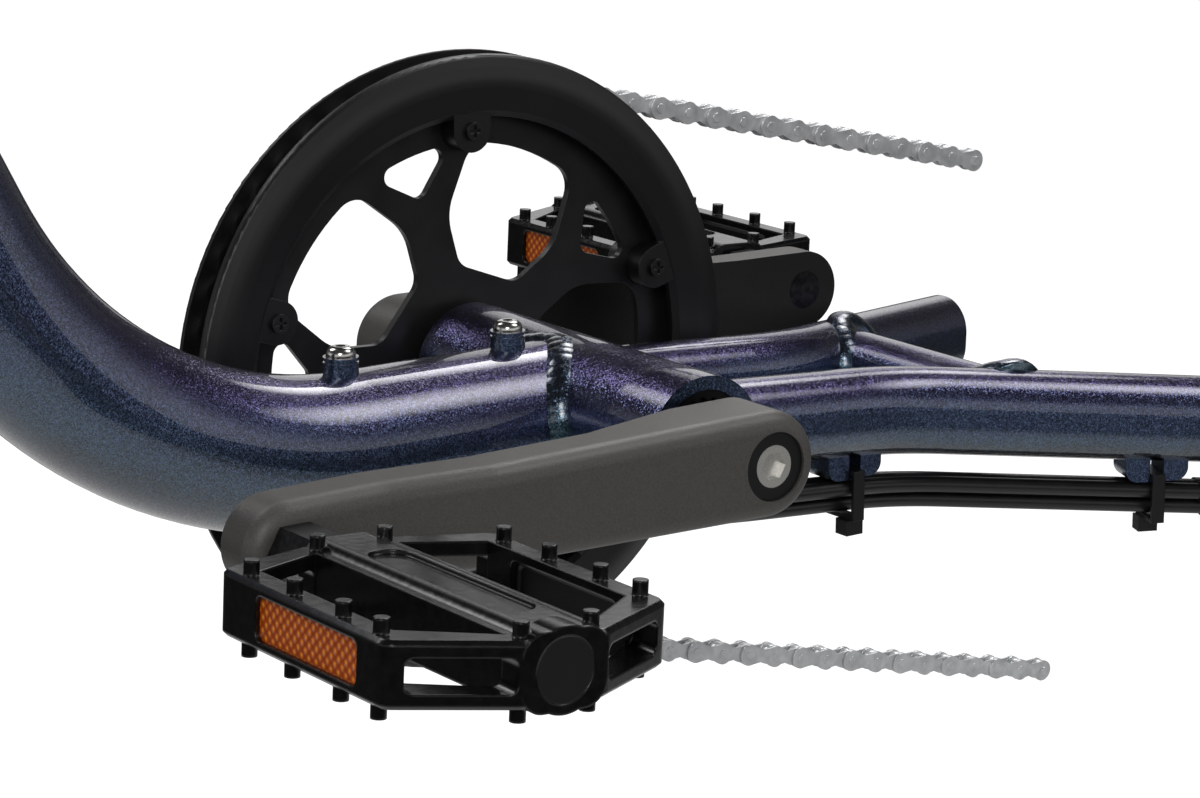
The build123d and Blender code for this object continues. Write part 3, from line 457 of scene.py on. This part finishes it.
for hand in ("left", "right"):
    pedal = Vector(joints[f"pedal_{hand}_turn"]["pos_m"])
    for end, side in (("front", 1), ("rear", -1)):
        tray = bmesh.new()
        rings = []
        for depth, inset in ((0.0, 0.0), (TRAY_T, 0.0), (TRAY_T, TRAY_RIM), (TRAY_T / 2, 2 * TRAY_RIM)):
            x = side * (LENS_BACK - depth)
            ring = []
            for along, up in tray_outline:
                y = along * (1 - inset / TRAY_HALF_L)
                z = up * (1 - inset / TRAY_HALF_H)
                corner = Vector((x * tilt_cos - z * tilt_sin, y, x * tilt_sin + z * tilt_cos))
                ring.append(tray.verts.new(pedal + corner))
            rings.append(ring)
        for near, far in zip(rings, rings[1:]):
            for k in range(TRAY_POINTS):
                beside = (k + 1) % TRAY_POINTS
                tray.faces.new((near[k], near[beside], far[beside], far[k]))
        tray.faces.new(rings[0][::-1])
        tray.faces.new(rings[-1])
        bmesh.ops.recalc_face_normals(tray, faces=tray.faces)
        mesh = bpy.data.meshes.new(f"pedal_{hand}_reflector_back_{end}")
        tray.to_mesh(mesh)
        tray.free()
        mesh.materials.append(moulded)
        piece = bpy.data.objects.new(mesh.name, mesh)
        bpy.context.collection.objects.link(piece)
        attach(piece, f"pedal_{hand}")


# Cables: a motor lead, a brake hose and a light's lead with smooth extruded jackets, a little uneven in
# gloss. They leave the main tube by a port and are tied below the left stay.
DRAG_MM = 6.0
jacket, *_ = mottled("polyurethane_extruded_black", DRAG_MM, detail=2.0, tones=("#0d0d0e", "#131314"),
                     roughness=(0.30, 0.45))
dress(jacket, "motor_cable", "brake_hose", "light_cable")


# Studio floor: pale, at the height of the road below the axle. The camera sees it white, and it keeps the
# part's shadow. Reflections show a lit sheet under the part and dim floor further out.
FLOOR_DROP, FLOOR_SIZE = 0.300, 30.0
FLOOR_LIFT = 0.88                       # brings the floor to white for the camera
SHEET_EDGE, SHEET_END = 0.55, 0.85      # the sheet, from the point below the axle
SHEET_GLOW, DIM_GLOW = 0.60, 0.03
WHITE = (1, 1, 1, 1)
bpy.ops.mesh.primitive_plane_add(size=FLOOR_SIZE, location=(axle.x, 0, axle.z - FLOOR_DROP))
floor = bpy.context.object
floor.name = "floor"
pale, tree, shader = new_material("studio_floor_pale")
feed(tree, shader, {"Base Color": linear("#8c8c8c"), "Roughness": 0.9})
rays = add(tree, "ShaderNodeLightPath")
straight = add(tree, "ShaderNodeMath", {0: rays.outputs["Is Camera Ray"], 1: FLOOR_LIFT},
               operation="MULTIPLY")
place = add(tree, "ShaderNodeTexCoord")
away = add(tree, "ShaderNodeVectorMath", {0: place.outputs["Object"]}, operation="LENGTH")
sheet = add(tree, "ShaderNodeMapRange",
            {0: away.outputs["Value"], 1: SHEET_EDGE, 2: SHEET_END, 3: SHEET_GLOW, 4: DIM_GLOW})
glow = add(tree, "ShaderNodeEmission", {0: WHITE, 1: straight.outputs[0]})
lit = add(tree, "ShaderNodeAddShader", {0: shader.outputs[0], 1: glow.outputs[0]})
mirrored = add(tree, "ShaderNodeEmission", {0: WHITE, 1: sheet.outputs[0]})
blend = add(tree, "ShaderNodeMixShader",
            {0: rays.outputs["Is Glossy Ray"], 1: lit.outputs[0], 2: mirrored.outputs[0]})
feed(tree, tree.nodes["Material Output"], {"Surface": blend.outputs[0]})
floor.data.materials.append(pale)

# Studio room: white to the camera. Reflections show a bright wall in front of the part, a dim one behind it
# with a lit sweep of backdrop, and a dark ceiling.
BACK_WAY = (-0.58, -0.81, 0.0)
SWEEP_WAY = (-0.57, -0.79, 0.24)
FRONT_GLOW, BACK_GLOW, SWEEP_GLOW = 0.85, 0.10, 0.90
CEILING_GLOW = 0.05                     # of the walls' glow
ROOM_LIGHT = 0.45                       # what reaches the matt surfaces
world = bpy.data.worlds.new("studio")
bpy.context.scene.world = world
world.use_nodes = True
tree = world.node_tree
sky = add(tree, "ShaderNodeTexCoord")
height = add(tree, "ShaderNodeSeparateXYZ", {0: sky.outputs["Generated"]})
behind = add(tree, "ShaderNodeVectorMath", {0: sky.outputs["Generated"], 1: BACK_WAY},
             operation="DOT_PRODUCT")
wall = add(tree, "ShaderNodeMapRange",
           {0: behind.outputs["Value"], 1: -0.1, 2: 0.5, 3: FRONT_GLOW, 4: BACK_GLOW})
ceiling = add(tree, "ShaderNodeMapRange",
              {0: height.outputs["Z"], 1: 0.25, 2: 0.45, 3: 1.0, 4: CEILING_GLOW})
shaded = add(tree, "ShaderNodeMath", {0: wall.outputs[0], 1: ceiling.outputs[0]}, operation="MULTIPLY")
toward = add(tree, "ShaderNodeVectorMath", {0: sky.outputs["Generated"], 1: SWEEP_WAY},
             operation="DOT_PRODUCT")
sweep = add(tree, "ShaderNodeMapRange",
            {0: toward.outputs["Value"], 1: 0.95, 2: 0.99, 3: 0.0, 4: SWEEP_GLOW})
room = add(tree, "ShaderNodeMath", {0: shaded.outputs[0], 1: sweep.outputs[0]}, operation="MAXIMUM")
rays = add(tree, "ShaderNodeLightPath")
reflected = add(tree, "ShaderNodeMath",
                {0: rays.outputs["Is Glossy Ray"], 1: rays.outputs["Is Transmission Ray"]},
                operation="MAXIMUM")
ambient = add(tree, "ShaderNodeMix", {0: reflected.outputs[0], 2: ROOM_LIGHT, 3: room.outputs[0]})
strength = add(tree, "ShaderNodeMath", {0: ambient.outputs[0], 1: rays.outputs["Is Camera Ray"]},
               operation="MAXIMUM")
feed(tree, tree.nodes["Background"], {"Color": WHITE, "Strength": strength.outputs[0]})

# Soft boxes, each with its place from the axle, size and watts: bright in the middle and faded to the rim.
SOFT_BOXES = (
    ((-0.65, 0.40, 1.00), 0.75, 4.4),
    ((-0.74, -0.59, 0.88), 0.65, 4.2),
    ((1.2, 1.5, 1.1), 1.0, 13.0),
    ((0.5, -1.2, 1.4), 1.0, 9.0),
)
FADE_START, FADE_END = 0.1, 0.5     # from the middle, in shares of a box's width
MIDDLE_GAIN = 3.0
for place, size, watts in SOFT_BOXES:
    lamp = bpy.data.lights.new("soft_box", "AREA")
    lamp.size = size
    lamp.energy = watts
    lamp.use_nodes = True
    tree = lamp.node_tree
    cloth = add(tree, "ShaderNodeNewGeometry")
    middle = add(tree, "ShaderNodeVectorMath", {0: cloth.outputs["Parametric"], 1: (0.5, 0.5, 0.0)},
                 operation="DISTANCE")
    fade = add(tree, "ShaderNodeMapRange",
               {0: middle.outputs["Value"], 1: FADE_START, 2: FADE_END, 3: MIDDLE_GAIN, 4: 0.0})
    feed(tree, tree.nodes["Emission"], {"Strength": fade.outputs[0]})
    box = bpy.data.objects.new("soft_box", lamp)
    bpy.context.collection.objects.link(box)
    box.location = axle + Vector(place)
    box.rotation_euler = (-Vector(place)).to_track_quat("-Z", "Y").to_euler()


# Camera: about 1.25 m from the axle, ahead of it, to the left and a little above, with a long lens. Its
# place was fitted to the photo.
VIEW_FROM = Vector((0.704683, 0.986396, 0.298919))
RIGHT = Vector((-0.80923, 0.58749, 0.00197))
UP = Vector((-0.13921, -0.19502, 0.97087))
LENS_MM, SENSOR_MM = 113.28, 36.0
shot = bpy.data.cameras.new("camera")
shot.lens = LENS_MM
shot.sensor_width = SENSOR_MM
camera = bpy.data.objects.new("camera", shot)
bpy.context.collection.objects.link(camera)
turned = Matrix((RIGHT, UP, RIGHT.cross(UP))).transposed().to_4x4()
camera.matrix_world = Matrix.Translation(axle + VIEW_FROM) @ turned
bpy.context.scene.camera = camera
bpy.context.scene.view_settings.view_transform = "Standard"
